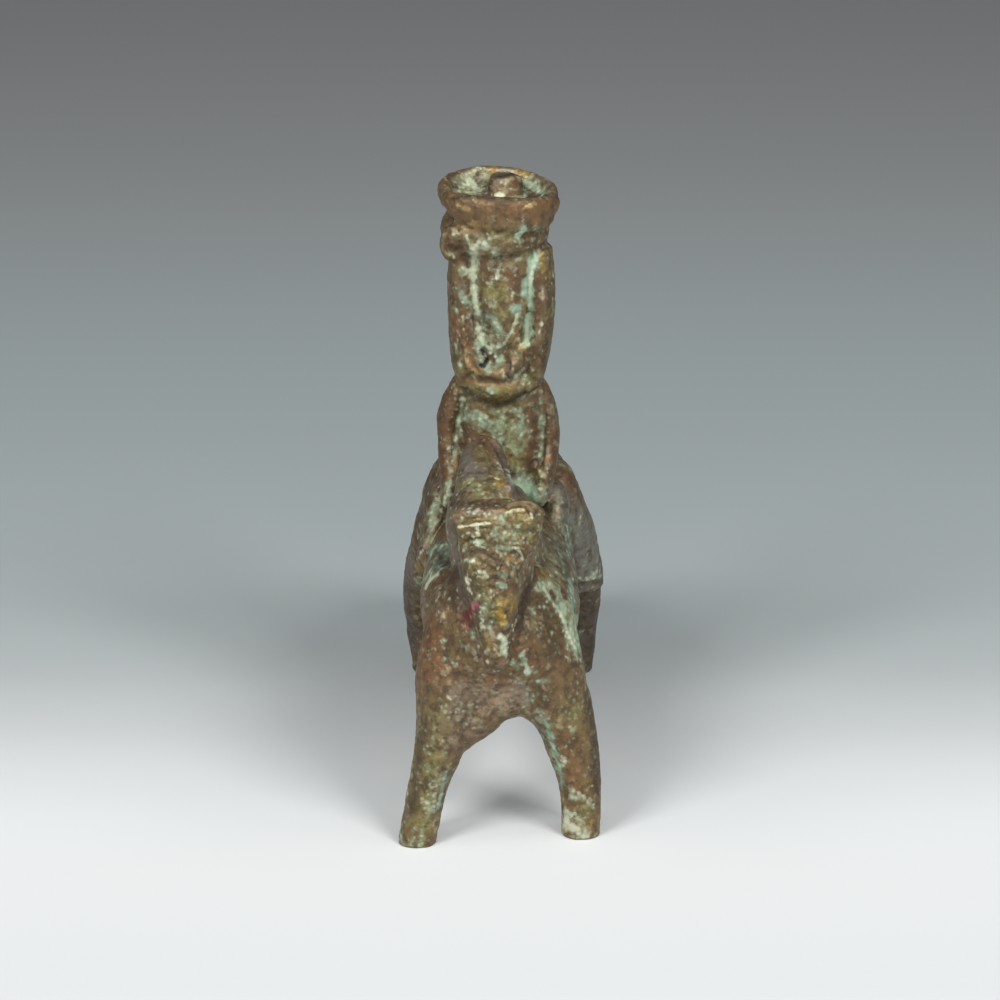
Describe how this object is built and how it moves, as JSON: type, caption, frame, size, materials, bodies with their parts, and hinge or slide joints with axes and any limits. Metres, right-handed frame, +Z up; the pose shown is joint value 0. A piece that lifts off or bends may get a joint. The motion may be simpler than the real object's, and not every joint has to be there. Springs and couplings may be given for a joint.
{
  "type": "bronze equestrian figure",
  "caption": "Small cast bronze horse with a rider whose tall column of a head wears a dish-shaped hat, standing on its own feet.",
  "frame": {"origin": "on the surface the figure stands on, under the middle of its bounding box", "axes": "+Z up, -Y the way the horse faces, +X to the figure's left"},
  "size_m": [0.0314, 0.0824, 0.0906],
  "materials": {
    "bronze": "brown patinated cast bronze with pale green deposits in the hollows and bare metal on the high points"
  },
  "bodies": {
    "root": {"horse_and_rider": "bronze"}
  },
  "joints": []
}
